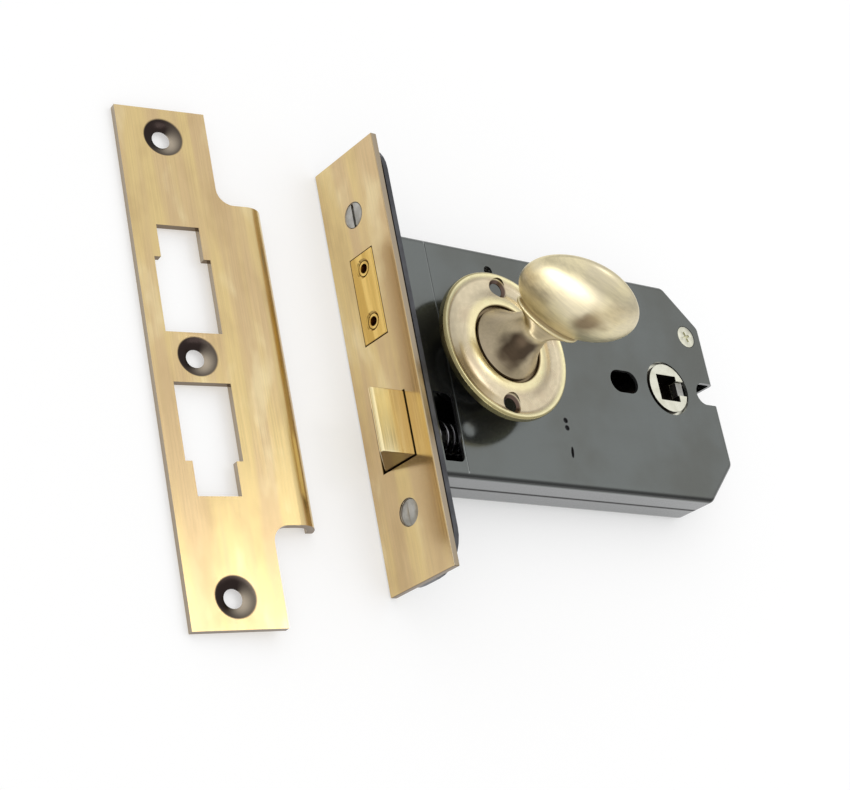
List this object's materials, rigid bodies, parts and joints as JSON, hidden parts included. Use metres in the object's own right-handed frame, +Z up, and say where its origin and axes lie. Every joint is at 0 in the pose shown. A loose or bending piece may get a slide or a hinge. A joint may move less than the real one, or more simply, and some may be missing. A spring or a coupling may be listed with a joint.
{
  "type": "mortice bathroom lock",
  "caption": "Horizontal mortice bathroom lock on its side: steel case, brass forend, sprung latch, deadbolt thrown by an oval turn on a rose, square follower, and a lipped strike plate.",
  "frame": {"origin": "on the table, under the middle of the bounding box of the lock and its strike plate", "axes": "+X runs from the strike plate past the forend into the door, +Y along the forend towards the deadbolt, +Z up from the table"},
  "size_m": [0.1854, 0.1416, 0.071],
  "materials": {
    "antique_brass": "brushed and darkened, satin",
    "bolt_brass": "polished",
    "black_steel": "semi-matt black coating",
    "case_steel": "semi-gloss dark grey coating",
    "zinc_steel": "zinc plated",
    "nickel": "nickel plated, satin",
    "spring_steel": "bright",
    "nylon": "plain"
  },
  "bodies": {
    "lock_body": {"forend_plate": "antique_brass", "forend_inner": "black_steel", "forend_screw_1": "zinc_steel", "forend_screw_2": "zinc_steel", "case_upper": "case_steel", "case_lower": "case_steel", "case_pillar_rear": "zinc_steel", "case_pillar_front": "zinc_steel", "tail_guide_post": "zinc_steel", "case_screw": "nickel", "detent_leaf": "spring_steel", "latch_spring": "spring_steel", "spring_stop": "zinc_steel", "turn_rose": "antique_brass", "turn_washer": "nylon", "strike_plate": "antique_brass"},
    "latch": {"latch_head": "bolt_brass", "latch_tail": "zinc_steel"},
    "deadbolt": {"deadbolt_head": "bolt_brass", "deadbolt_pin_1": "bolt_brass", "deadbolt_pin_2": "bolt_brass", "deadbolt_rivet": "zinc_steel", "deadbolt_tail": "zinc_steel"},
    "turn": {"turn_knob": "antique_brass", "turn_spindle": "zinc_steel", "spindle_pin": "zinc_steel", "turn_follower": "zinc_steel", "turn_circlip": "spring_steel"},
    "follower": {"follower_hub": "nickel", "follower_grip": "zinc_steel"}
  },
  "joints": [
    {"name": "follower_turn", "type": "hinge", "parent": "lock_body", "child": "follower", "pos_m": [0.07127, 0.0002, 0.00861], "axis": [0.0423, 0, 0.9991], "range_deg": [0, 33.5]},
    {"name": "latch_slide", "type": "slide", "parent": "lock_body", "child": "latch", "axis": [0.9991, 0, -0.0423], "range_m": [0, 0.0105], "stiffness_N_per_m": 350, "springref_m": -0.012, "deforming": ["latch_spring"]},
    {"name": "turn_rotate", "type": "hinge", "parent": "lock_body", "child": "turn", "pos_m": [-0.00106, 0.0002, 0.01167], "axis": [0.0423, 0, 0.9991], "range_deg": [0, 90]},
    {"name": "deadbolt_slide", "type": "slide", "parent": "lock_body", "child": "deadbolt", "axis": [-0.9991, 0, 0.0423], "range_m": [0, 0.0116]}
  ],
  "couplings": [
    {"joint": "follower_turn", "follows": "latch_slide", "rad_per_m": 55.556},
    {"joint": "deadbolt_slide", "follows": "turn_rotate", "m_per_rad": 0.0073826}
  ]
}
